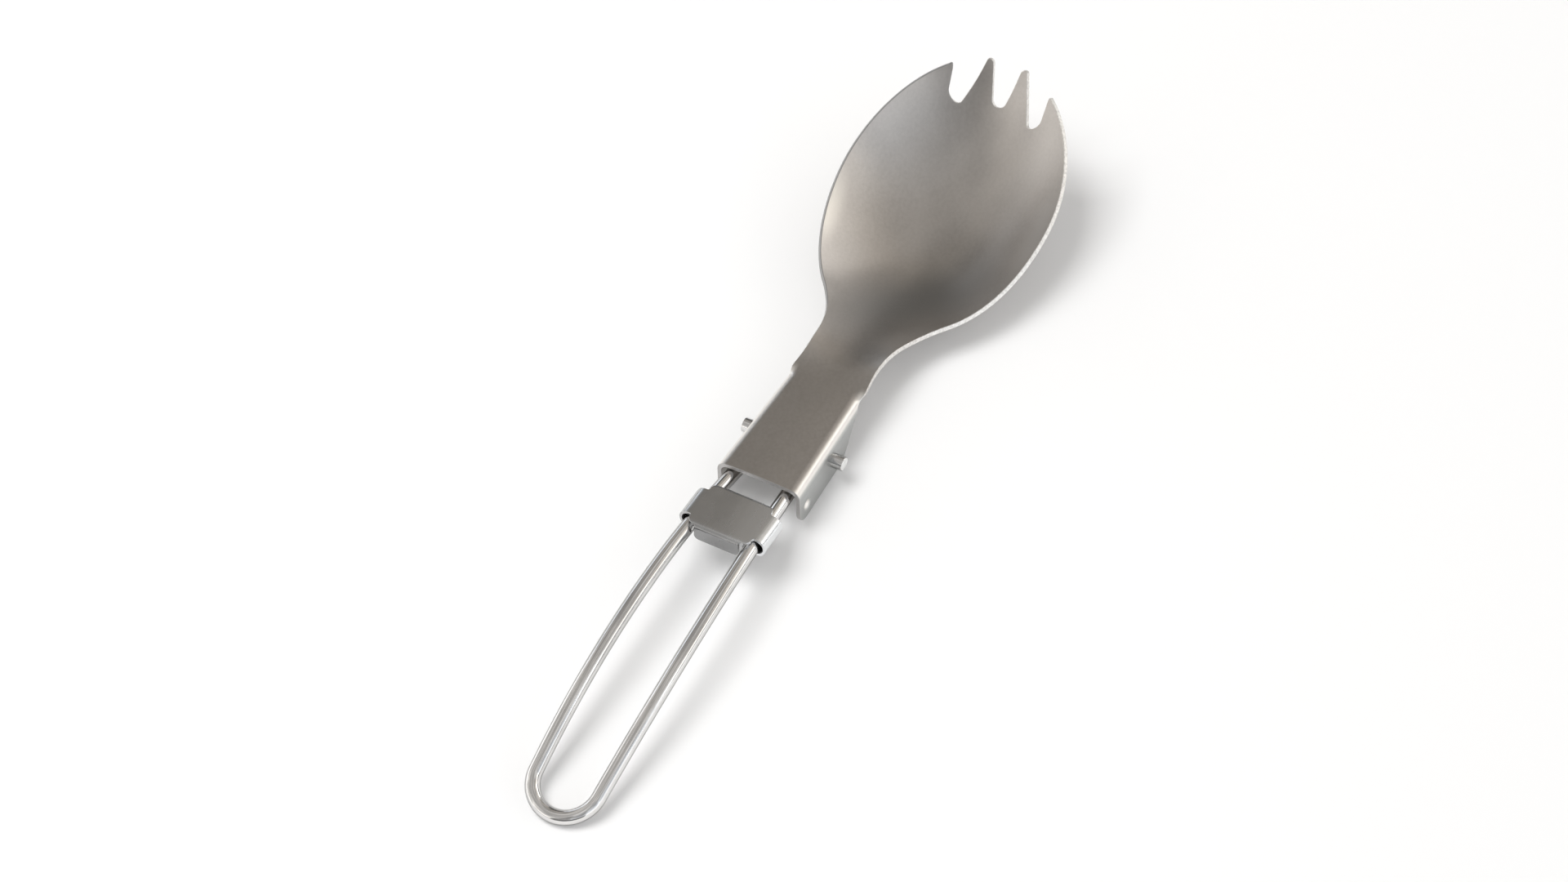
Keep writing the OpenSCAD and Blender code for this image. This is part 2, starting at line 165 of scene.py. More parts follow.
def thinned(points: np.ndarray, apart: float) -> np.ndarray:
    """Points in order along X, without those that lie close to an earlier one.

    Args:
        points: the points, one row each.
        apart: least distance between two of them.

    Returns:
        The points that stay.
    """
    points = points[np.lexsort((points[:, 1], points[:, 0]))]
    stay = np.zeros(len(points), bool)
    for i, point in enumerate(points):
        near = points[:i][stay[:i]] - point
        stay[i] = not len(near) or np.hypot(*near.T).min() >= apart
    return points[stay]


def quarter_turns(steps: int) -> list[float]:
    """Angles in radians that lead up to a right angle in even steps."""
    return [math.radians(90.0 * k / steps) for k in range(1, steps + 1)]


def bent(
    s: np.ndarray, start: np.ndarray | float, r: np.ndarray | float, turn: np.ndarray | float
) -> tuple[np.ndarray, np.ndarray]:
    """Section of a sheet that is bent down on both sides of its middle.

    Args:
        s: distances from the middle along the sheet.
        start: distance at which the bend starts.
        r: radius of the bend.
        turn: angle of the bend in radians.

    Returns:
        How far out and how high each place comes to lie.
    """
    beyond = np.maximum(np.abs(s) - start, 0)
    u = np.minimum(beyond, r * turn)
    past = beyond - u
    out = np.minimum(np.abs(s), start) + r * np.sin(u / r) + past * np.cos(turn)
    return np.sign(s) * out, -r * (1 - np.cos(u / r)) - past * np.sin(turn)


@dataclass(frozen=True)
class Seat:
    """How the spork lies: tipped about Y, then moved so that its box stands on the table."""

    tilt_deg: float = 2.8631
    shift_x: float = -11.7581
    shift_z: float = 9.27974

    def turn(self) -> np.ndarray:
        """Matrix that turns the neck's frame to the table's."""
        c, s = math.cos(math.radians(self.tilt_deg)), math.sin(math.radians(self.tilt_deg))
        return np.array([[c, 0, s], [0, 1, 0], [-s, 0, c]])

    def place(self, points: np.ndarray) -> np.ndarray:
        """Points of the neck's frame, in metres on the table.

        Args:
            points: rows in millimetres.

        Returns:
            Rows in metres.
        """
        return (points @ self.turn().T + np.array([self.shift_x, 0, self.shift_z])) * MM

    def aim(self, normals: np.ndarray) -> np.ndarray:
        """Directions of the neck's frame, turned to the table's."""
        return normals @ self.turn().T


SEAT = Seat()


@dataclass
class Skin:
    """Mesh of a piece in the neck's frame: corners, faces and directions, cut edges last."""

    points: np.ndarray
    faces: list[list[int]]
    normals: np.ndarray
    plain_faces: int


def make_piece(name: str, skin: Skin, finishes: list[bpy.types.Material]) -> bpy.types.Object:
    """Puts a mesh into the scene, smooth shaded with its true normals.

    Args:
        name: name of the piece.
        skin: its mesh.
        finishes: material of the faces, and of the cut edges where that differs.

    Returns:
        The new object.
    """
    mesh = bpy.data.meshes.new(name)
    mesh.from_pydata(SEAT.place(skin.points).tolist(), [], skin.faces)
    for finish in finishes:
        mesh.materials.append(finish)
    cut = min(1, len(finishes) - 1)
    index = [0] * skin.plain_faces + [cut] * (len(skin.faces) - skin.plain_faces)
    mesh.polygons.foreach_set("material_index", index)
    mesh.shade_smooth()
    mesh.normals_split_custom_set_from_vertices(unit(SEAT.aim(skin.normals)).tolist())
    piece = bpy.data.objects.new(name, mesh)
    bpy.context.scene.collection.objects.link(piece)
    return piece


@dataclass
class Blank:
    """Flat blank that a sheet piece is folded from: its outline, its holes and inner points."""

    outline: np.ndarray
    holes: list[np.ndarray]
    inner: np.ndarray

    def loops(self) -> list[np.ndarray]:
        """The outline turning left and the holes turning right."""
        return [self.outline] + [hole[::-1] for hole in self.holes]

    @staticmethod
    def pulled_in(loop: np.ndarray, by: float) -> np.ndarray:
        """A loop moved to its left, into the sheet.

        Args:
            loop: points of a closed loop with the sheet on its left.
            by: distance.

        Returns:
            The moved loop.
        """
        ahead = unit(np.roll(loop, -1, 0) - loop)
        behind = unit(loop - np.roll(loop, 1, 0))
        left = unit(np.stack([-(ahead + behind)[:, 1], (ahead + behind)[:, 0]], 1))
        least = 0.5
        widen = np.clip((left * np.stack([-ahead[:, 1], ahead[:, 0]], 1)).sum(1), least, 1.0)
        return loop + left * (by / widen)[:, None]

    @staticmethod
    def inside(points: np.ndarray, loop: np.ndarray) -> np.ndarray:
        """Which points lie in a closed loop.

        Args:
            points: points of the blank.
            loop: points of the loop.

        Returns:
            True for each point inside.
        """
        x, y = points[:, :1], points[:, 1:]
        a, b = loop[None, :, :], np.roll(loop, -1, 0)[None, :, :]
        crosses = (a[..., 1] > y) != (b[..., 1] > y)
        rise = np.where(a[..., 1] == b[..., 1], TINY, b[..., 1] - a[..., 1])
        at = a[..., 0] + (y - a[..., 1]) / rise * (b[..., 0] - a[..., 0])
        return (crosses & (x < at)).sum(1) % 2 == 1

    @staticmethod
    def away(points: np.ndarray, loop: np.ndarray) -> np.ndarray:
        """Distance of each point from a loop's corners."""
        d = points[:, None, :] - loop[None, :, :]
        return np.sqrt((d * d).sum(2).min(1))


@dataclass
class SheetPiece:
    """A piece of folded sheet. A subclass gives the blank and the fold."""

    thickness: float
    edge_r: float
    name: str = "sheet"
    edge_steps: int = 3
    inner_clear: float = 0.28
    weld: float = 1e-6
    probe: float = 0.02

    def blank(self) -> Blank:
        """Flat blank of the piece."""
        raise NotImplementedError

    def fold(self, flat: np.ndarray) -> np.ndarray:
        """Place of points of the blank once folded, on the outer face."""
        raise NotImplementedError

    def face(self, flat: np.ndarray) -> tuple[np.ndarray, np.ndarray]:
        """Outer face at points of the blank.

        Args:
            flat: points of the blank.

        Returns:
            Places and outward directions.
        """
        ahead, aside = np.array([self.probe, 0]), np.array([0, self.probe])
        along = self.fold(flat + ahead) - self.fold(flat - ahead)
        across = self.fold(flat + aside) - self.fold(flat - aside)
        return self.fold(flat), unit(np.cross(along, across))

    def flat_points(self) -> tuple[np.ndarray, list[int]]:
        """Points of the blank: its loops, pulled in by the edge's radius, and those inside.

        Returns:
            The points, and how many of them each loop has.
        """
        blank = self.blank()
        loops = [blank.pulled_in(loop, self.edge_r) for loop in blank.loops()]
        keep = blank.inside(blank.inner, loops[0])
        for hole in loops[1:]:
            keep &= ~blank.inside(blank.inner, hole)
        for loop in loops:
            keep &= blank.away(blank.inner, loop) > self.inner_clear
        return np.concatenate(loops + [blank.inner[keep]]), [len(loop) for loop in loops]

    def triangles(self, flat: np.ndarray, counts: list[int]) -> list[list[int]]:
        """Triangles between the points of the blank, outside its holes.

        Args:
            flat: points of the blank, those of its loops first.
            counts: how many points each loop has.

        Returns:
            The numbers of each triangle's three points.
        """
        edges, first = [], 0
        for n in counts:
            edges += [(first + i, first + (i + 1) % n) for i in range(n)]
            first += n
        places = [Vector(p) for p in flat.tolist()]
        corners, _, triangles, source, _, _ = delaunay_2d_cdt(places, edges, [], 2, self.weld)
        if len(corners) != len(flat):
            log.warning("%s: %d corners for %d points of the blank", self.name, len(corners), len(flat))
        number = [ids[0] if ids else -1 for ids in source]
        return [[number[i] for i in t] for t in triangles]

    def soft_edge(self, base: np.ndarray, up: np.ndarray) -> list[tuple[np.ndarray, np.ndarray]]:
        """Softened edge along one loop, from the outer face to the inner one.

        Args:
            base: places of the loop on the outer face.
            up: outward directions there.

        Returns:
            Places and directions of each row of the edge.
        """
        along = unit(np.roll(base, -1, 0) - np.roll(base, 1, 0))
        out = unit(np.cross(along, up))
        turns = quarter_turns(self.edge_steps)
        rows = []
        for turn, side in [(a, 1) for a in turns] + [(a, -1) for a in reversed(turns)]:
            s, c = math.sin(turn), math.cos(turn)
            drop = self.edge_r * (1 - c)
            if side < 0:
                drop = self.thickness - drop
            rows.append((base + out * self.edge_r * s - up * drop, out * s + up * side * c))
        return rows

    def mesh(self) -> Skin:
        """Both faces of the sheet and the softened edge round each loop.

        Returns:
            The skin in the neck's frame.
        """
        flat, counts = self.flat_points()
        triangles = self.triangles(flat, counts)
        outer, up = self.face(flat)
        count = len(flat)
        points, normals = [outer, outer - self.thickness * up], [up, -up]
        faces = triangles + [[count + i for i in reversed(t)] for t in triangles]
        plain = len(faces)
        first, total = 0, 2 * count
        for n in counts:
            rows = [range(first, first + n)]
            for places, aims in self.soft_edge(outer[first:first + n], up[first:first + n]):
                points.append(places)
                normals.append(aims)
                rows.append(range(total, total + n))
                total += n
            rows.append(range(count + first, count + first + n))
            for a, b in zip(rows[:-1], rows[1:]):
                faces += [[a[i], b[i], b[(i + 1) % n], a[(i + 1) % n]] for i in range(n)]
            first += n
        return Skin(np.concatenate(points), faces, np.concatenate(normals), plain)


@dataclass
class HandleArch:
    """Side view of the wire handle: an arc of a circle, and the bow of its legs in plan."""

    arch_r: float = 143.7
    arch_top_x: float = 15.4
    arch_top_deep: float = 1.45
    legs_widest_x: float = 38.0
    legs_half_max: float = 6.3
    legs_bow_r: float = 620.0

    def height(self, x: np.ndarray) -> np.ndarray:
        """Height of the wire's middle at x."""
        d = x + self.arch_top_x
        return np.sqrt(self.arch_r**2 - d * d) - self.arch_r - self.arch_top_deep

    def half_gap(self, x: np.ndarray) -> np.ndarray:
        """Half distance of the legs' middles at x."""
        d = x + self.legs_widest_x
        return self.legs_half_max - d * d / (2 * self.legs_bow_r)


@dataclass
class SporkHead(SheetPiece):
    """Stamped head: neck channel, flat neck, bowl and tines, all one sheet."""

    thickness: float = 0.8
    edge_r: float = 0.12
    name: str = "head_sheet_metal"
    arch: HandleArch = field(default_factory=HandleArch)

    # Neck channel: its plan, its folds and the side view of its flanges
    neck_l: float = 23.7
    neck_rear_w: float = 15.8
    neck_front_w: float = 14.3
    fold_r: float = 2.0
    flange_h: float = 8.2
    flange_foot_l: float = 13.7
    heel_r: float = 2.4
    toe_r: float = 4.9
    root_r: float = 3.5
    toe_lean: float = 51.0

    # Where the channel opens into the flat neck
    unfold_from: float = 22.4
    unfold_to: float = 25.2

    # Pin holes and detents of the flanges
    pin_hole_x: float = PIVOT_X
    pin_hole_r: float = 1.5
    pin_hole_sides: int = 48
    detent_x: float = 2.64
    detent_depth: float = 5.41
    detent_r: float = 1.4
    detent_in: float = 0.72
    detent_sides: int = 24
    detent_rings: tuple[float, ...] = (0.25, 0.5, 0.75, 1.0, 1.25, 1.5)
    detent_clear: float = 1.62

    # Crown across the channel's top
    crown: float = 0.2
    crown_from: float = 27.0
    crown_to: float = 12.0

    # Plan of the neck and the bowl
    strip_w: float = 14.2
    waist_w: float = 13.4
    throat_x: float = 29.0
    shoulder_x: float = 45.4
    widest_x: float = 68.1
    tip_x: float = 92.3
    bowl_w: float = 39.3
    oval_rear_l: float = 28.8

    # Side view of the bowl's floor and of its rim
    bowl_deep: float = 5.5
    bowl_low_x: float = 58.9
    bowl_rise_r: float = 35.7
    trough_share: float = 0.75
    rim_from: float = 23.4
    rim_rise: float = 0.85
    rim_rise_x: float = 31.2
    rim_dip: float = 0.65
    rim_dip_x: float = 42.1
    rim_mid_h: float = 5.95
    rim_mid_slope: float = 0.331
    rim_tip_h: float = 17.2
    rim_tip_slope: float = 0.57

    # Gaps and tines, the outer tines as shares of half a tine's width
    mid_gap_x: float = 88.1
    side_gap_x: float = 86.2
    side_gap_y: float = 7.73
    gap_r: float = 1.35
    tine_y: float = 3.3
    tine_x: float = 91.9
    tine_half_w: float = 0.72
    front_lean: float = 0.55
    arc_turn: float = 78.0
    horn_share: float = 1 / 3
    horn_start_shares: Span = (-1.0, -1 / 20)
    horn_pull_shares: Span = (1 / 5, 1 / 9)

    # Steps of the outline and points inside it
    arc_steps: int = 8
    turn_steps: int = 12
    oval_steps: int = 59
    horn_steps: int = 5
    plate_steps: int = 7
    fold_steps: int = 12
    line_step: float = 0.5
    fine_step: float = 0.3
    neck_join: float = 0.9
    bowl_join: float = 0.2
    row_runs: tuple[Triple, ...] = ((0.45, 21.4, 0.45), (21.6, 26.2, 0.18), (26.4, 27.9, 0.4))
    flange_rows_to: float = 7.0
    grid_from: float = 28.2
    grid_cell: Span = (0.62, 0.72)
    least_bend: float = 1e-6
    least_half_w: float = 1.0

    def oval(self, x: np.ndarray) -> np.ndarray:
        """Half width of the bowl's oval behind its widest place."""
        u = (self.widest_x - x) / self.oval_rear_l
        return self.bowl_w / 2 * np.sqrt(np.clip(1 - u * u, 0, 1))

    def half_w(self, x: np.ndarray) -> np.ndarray:
        """Half width of the flat neck and the bowl in plan.

        Args:
            x: places along the head.

        Returns:
            The half widths there.
        """
        u = (self.widest_x - self.shoulder_x) / self.oval_rear_l
        slope = self.bowl_w / 2 * u / (self.oval_rear_l * math.sqrt(1 - u * u))
        shoulder = float(self.oval(np.array(self.shoulder_x)))
        waist = (self.throat_x, self.waist_w / 2, 0.0)
        ahead = np.clip((x - self.widest_x) / (self.tip_x - self.widest_x), 0, 1)
        return np.select(
            [x <= self.throat_x, x <= self.shoulder_x, x <= self.widest_x],
            [
                cubic(np.maximum(x, self.neck_l), (self.neck_l, self.strip_w / 2, 0.0), waist),
                cubic(x, waist, (self.shoulder_x, shoulder, slope)),
                self.oval(x),
            ],
            self.bowl_w / 2 * np.sqrt(1 - ahead * ahead),
        )

    def trough_from(self) -> float:
        """Where the bowl's trough begins."""
        return self.neck_l + self.trough_share * (self.throat_x - self.neck_l)

    def rim_z(self, x: np.ndarray) -> np.ndarray:
        """Height of the rim along the head.

        Args:
            x: places along the head.

        Returns:
            The heights there.
        """
        start = (self.rim_from, 0.0, 0.0)
        top = (self.rim_rise_x, self.rim_rise, 0.0)
        dip = (self.rim_dip_x, -self.rim_dip, 0.0)
        mid = (self.widest_x, self.rim_mid_h, self.rim_mid_slope)
        return np.select(
            [x <= start[0], x <= top[0], x <= dip[0], x <= mid[0]],
            [np.zeros_like(x), cubic(x, start, top), cubic(x, top, dip), cubic(x, dip, mid)],
            cubic(x, mid, (self.tip_x, self.rim_tip_h, self.rim_tip_slope)),
        )

    def floor_z(self, x: np.ndarray) -> np.ndarray:
        """Height of the floor along the middle.

        Args:
            x: places along the head.

        Returns:
            The heights there.
        """
        r, d = self.bowl_rise_r, x - self.bowl_low_x
        rise = r - self.bowl_deep - np.sqrt(np.maximum(r**2 - d * d, 0))
        start = (self.trough_from(), 0.0, 0.0)
        return np.select(
            [x <= start[0], x <= self.bowl_low_x],
            [np.zeros_like(x), cubic(x, start, (self.bowl_low_x, -self.bowl_deep, 0.0))],
            rise,
        )

    def channel_half_w(self, x: np.ndarray) -> np.ndarray:
        """Half width over the flanges along the channel."""
        return (self.neck_rear_w + (self.neck_front_w - self.neck_rear_w) * x / self.neck_l) / 2

    def edge_at(self, x: np.ndarray, depth: np.ndarray) -> np.ndarray:
        """Distance in the blank from the middle to a place at a depth on the flange.

        Args:
            x: places along the channel.
            depth: depths below the top face.

        Returns:
            Distances along the folded section.
        """
        r = self.fold_r
        turn = r * np.arccos(np.clip(1 - depth / r, 0, 1))
        past = np.maximum(depth - r, 0)
        return self.channel_half_w(x) - r + turn + past

    def detent_s(self) -> float:
        """Distance of a detent's middle from the centre line of the blank."""
        return float(self.edge_at(np.array(self.detent_x), np.array(self.detent_depth)))

    def flange_side(self) -> np.ndarray:
        """Edge of one flange in the blank: its heel, its toe and its root at the flat neck.

        Returns:
            The points, from the rear on.
        """
        h, lean, steps = self.flange_h, self.toe_lean, self.arc_steps
        heel_r, toe_r, root_r = self.heel_r, self.toe_r, self.root_r
        heel = arc((heel_r, h - heel_r), (-heel_r, heel_r), 0, 90, steps)
        toe = arc((self.flange_foot_l, h - toe_r), (toe_r, toe_r), 90, 90 - lean, steps)
        root = arc((self.neck_l, self.thickness + root_r), (root_r, root_r), 270 - lean, 270, steps)
        line = spaced(np.concatenate([heel, toe, root]), self.line_step)
        return np.stack([line[:, 0], self.edge_at(line[:, 0], line[:, 1])], 1)

    def front_edge(self) -> np.ndarray:
        """Front edge in plan: half the middle gap, a tine, a side gap and the outer tine.

        Returns:
            The points, from the centre line out to the bowl's widest place.
        """
        g, t, k, turn = self.gap_r, self.tine_half_w, self.front_lean, self.arc_turn
        front_l, half = self.tip_x - self.widest_x, self.bowl_w / 2
        middle = arc((self.mid_gap_x + k * g, 0.0), (-k * g, g), 0, turn, self.arc_steps)
        tine = arc((self.tine_x - k * t, self.tine_y), (k * t, t), -turn, turn, self.turn_steps)
        side = arc((self.side_gap_x + k * g, self.side_gap_y), (-k * g, g), -turn, turn, self.turn_steps)
        out_y = self.side_gap_y + g + t * self.horn_share
        horn = np.array([self.widest_x + front_l * math.sqrt(1 - (out_y / half) ** 2), out_y])
        start = math.degrees(math.asin((out_y + t) / half))
        oval = arc((self.widest_x, 0.0), (front_l, half), start, 90, self.oval_steps)
        foot = horn + t * np.array(self.horn_start_shares)
        pull = horn + t * np.array(self.horn_pull_shares)
        u = np.linspace(0, 1, self.horn_steps + 1)[:-1, None]
        tip = (1 - u) ** 2 * foot + 2 * u * (1 - u) * pull + u**2 * oval[0]
        return np.concatenate([middle, tine, side, tip, oval])

    def blank(self) -> Blank:
        """Flat blank of the head, with its pin holes.

        Returns:
            The blank.
        """
        side = self.flange_side()
        x = np.arange(self.neck_l + self.neck_join, self.widest_x - self.bowl_join, self.line_step)
        neck = np.stack([x, self.half_w(x)], 1)
        front = spaced(self.front_edge()[::-1], self.line_step)
        rear = spaced(np.array([[0.0, 0.0], [0.0, float(side[0, 1])]]), self.fine_step)
        outline = closed(np.concatenate([rear[:-1], side, neck, front]))[::-1]
        hole_x = np.array(self.pin_hole_x)
        hole_s = float(self.edge_at(hole_x, -self.arch.height(hole_x)))
        middles = [(self.pin_hole_x, hole_s), (self.pin_hole_x, -hole_s)]
        holes = [ring(middle, self.pin_hole_r, self.pin_hole_sides) for middle in middles]
        return Blank(outline, holes, self.inner_points())

    def inner_points(self) -> np.ndarray:
        """Points inside the blank: rows along the folds, rings at the detents, a grid ahead.

        Returns:
            The points, one row each.
        """
        turn, step = self.fold_r * math.pi / 2, self.line_step
        rows = []
        for x in np.concatenate([np.arange(*run) for run in self.row_runs]):
            start = float(self.channel_half_w(np.array(x))) - self.fold_r
            flat = np.linspace(0, start, self.plate_steps + 1)[:-1]
            bend = start + np.linspace(0, turn, self.fold_steps + 1)
            flange = np.arange(start + turn + step, start + turn + self.flange_rows_to, step)
            s = np.concatenate([flat, bend, flange])
            s = np.concatenate([-s[:0:-1], s])
            rows.append(np.stack([np.full_like(s, x), s], 1))
        grid = np.concatenate(rows)
        middles = [(self.detent_x, self.detent_s()), (self.detent_x, -self.detent_s())]
        for middle in middles:
            grid = grid[Blank.away(grid, np.array([middle])) > self.detent_clear]
        rings = [ring(middle, r, self.detent_sides) for r in self.detent_rings for middle in middles]
        cell_x, cell_y = self.grid_cell
        reach = math.ceil(self.bowl_w / 2 / cell_y)
        ahead = []
        for k, x in enumerate(np.arange(self.grid_from, self.tip_x - self.fine_step, cell_x)):
            y = (np.arange(-reach, reach + 1) + 0.5 * (k % 2)) * cell_y
            ahead.append(np.stack([np.full_like(y, x), y], 1))
        return np.concatenate([grid] + rings + ahead)

    def fold(self, flat: np.ndarray) -> np.ndarray:
        """Outer face of the folded head.

        Args:
            flat: points of the blank.

        Returns:
            Their places, one row each.
        """
        x, s = flat[:, 0], np.abs(flat[:, 1])
        bend = smooth_step((self.unfold_to - x) / (self.unfold_to - self.unfold_from))
        start = self.channel_half_w(np.minimum(x, self.unfold_to)) - self.fold_r
        angle = np.maximum(bend, self.least_bend) * math.pi / 2
        y, z = bent(s, start, self.fold_r * math.pi / 2 / angle, angle)
        share = np.clip(s / np.maximum(self.half_w(x), self.least_half_w), 0, 1)
        trough = self.floor_z(x) + (self.rim_z(x) - self.floor_z(x)) * share**2
        z = z + np.where(x > self.rim_from, trough, 0)
        crown = self.crown * smooth_step((self.crown_from - x) / (self.crown_from - self.crown_to))
        z = z + crown * np.clip(1 - (s / start) ** 2, 0, 1)
        near = np.hypot(x - self.detent_x, s - self.detent_s()) / self.detent_r
        dent = self.detent_in * np.cos(np.clip(near, 0, 1) * math.pi / 2) ** 2
        return np.stack([x, np.sign(flat[:, 1]) * (y - dent), z], 1)


@dataclass
class WireHandle:
    """Wire loop handle with its ends bent out as pivot pins and crimped outside the flanges."""

    arch: HandleArch = field(default_factory=HandleArch)
    name: str = "handle_wire"
    wire_r: float = WIRE_R
    loop_x: float = 62.6
    pivot_x: float = PIVOT_X
    pin_span: float = 19.3
    pin_steps: int = 26
    elbow_r: float = 1.8
    elbow_gap: float = 0.1
    elbow_steps: int = 13
    leg_steps: int = 72
    loop_steps: int = 19

    # Crimped ears of the pins, and the round of their ends
    ear_y: float = 7.55
    ear_h: float = 0.1
    ear_l: float = 0.6
    ear_soft: float = 0.12
    pin_round: float = 0.12
    sides: int = 32
    end_steps: int = 3

    def path(self) -> np.ndarray:
        """Middle of the wire from the left pin's end round the loop to the right pin's end.

        Returns:
            The points, one row each.
        """
        arch, r = self.arch, self.elbow_r
        lean = math.atan((self.pivot_x - r + arch.legs_widest_x) / arch.legs_bow_r)
        leg_from = self.pivot_x - r * (1 + math.sin(lean))
        root_y = float(arch.half_gap(np.array(leg_from))) + r * math.cos(lean)
        loop_lean = math.atan((self.loop_x - arch.legs_widest_x) / arch.legs_bow_r)
        loop_r = float(arch.half_gap(np.array(-self.loop_x))) / math.cos(loop_lean)
        fore_r = loop_r * math.cos(math.asin((self.loop_x + loop_r / 2 - arch.arch_top_x) / arch.arch_r))
        leg_to = -self.loop_x - fore_r * math.sin(loop_lean)
        y = np.linspace(self.pin_span / 2 - self.pin_round, root_y + self.elbow_gap, self.pin_steps)
        pin = np.stack([np.full_like(y, self.pivot_x), y], 1)
        elbow = arc((self.pivot_x - r, root_y), (r, -r), 0, 90 + math.degrees(lean), self.elbow_steps)
        x = np.linspace(leg_from, leg_to, self.leg_steps)[1:-1]
        leg = np.stack([x, arch.half_gap(x)], 1)
        loop = arc((-self.loop_x, 0.0), (-fore_r, loop_r), 90 - math.degrees(loop_lean), 0, self.loop_steps)
        half = np.concatenate([pin, elbow, leg, loop])
        plan = np.concatenate([half, half[:-1][::-1] * np.array([1, -1])])
        return np.column_stack([plan, arch.height(plan[:, 0])])

    def swell(self, y: np.ndarray, angle: np.ndarray) -> np.ndarray:
        """How far the crimp pushes the pin's skin out.

        Args:
            y: place along the pin.
            angle: place round it, from its fore side.

        Returns:
            Millimetres to add to the radius.
        """
        off = np.abs(np.abs(y) - self.ear_y - self.ear_l / 2)
        along = np.clip(1 - off / (self.ear_l / 2 + self.ear_soft), 0, 1)
        return self.ear_h * np.sqrt(along) * np.maximum(np.cos(2 * angle), 0) ** 2

    def mesh(self) -> Skin:
        """Skin of the wire, with its rounded ends.

        Returns:
            The skin in the neck's frame.
        """
        middle, n = self.path(), self.sides
        arch_middle = np.array([-self.arch.arch_top_x, 0.0, -self.arch.arch_top_deep - self.arch.arch_r])
        top = unit((middle - arch_middle) * np.array([1, 0, 1]))
        side = unit(np.cross(unit(np.gradient(middle, axis=0)), top))
        angle = np.linspace(0, 2 * math.pi, n, endpoint=False)
        spokes = np.cos(angle)[:, None] * top[:, None] + np.sin(angle)[:, None] * side[:, None]
        radii = np.full((len(middle), n), self.wire_r)
        pins = (np.abs(middle[:, 1]) > self.arch.legs_half_max + self.elbow_r) & (middle[:, 0] > 0)
        radii[pins] += self.swell(middle[pins, 1:2], angle + math.pi / 2)
        rows, aims = list(middle[:, None] + radii[..., None] * spokes), list(spokes)
        for turn in quarter_turns(self.end_steps):
            s, c = math.sin(turn), math.cos(turn)
            r, out = self.wire_r - self.pin_round * (1 - c), np.array([0.0, 1.0, 0.0])
            near = middle[0] + r * spokes[0] + self.pin_round * s * out
            far = middle[-1] + r * spokes[-1] - self.pin_round * s * out
            rows = [near] + rows + [far]
            aims = [c * spokes[0] + s * out] + aims + [c * spokes[-1] - s * out]
        count = len(rows)
        faces = [
            [k * n + i, k * n + (i + 1) % n, (k + 1) * n + (i + 1) % n, (k + 1) * n + i]
            for k in range(count - 1)
            for i in range(n)
        ]
        plain = len(faces)
        faces += [list(range(n))[::-1], list(range((count - 1) * n, count * n))]
        return Skin(np.concatenate(rows), faces, np.concatenate(aims), plain)


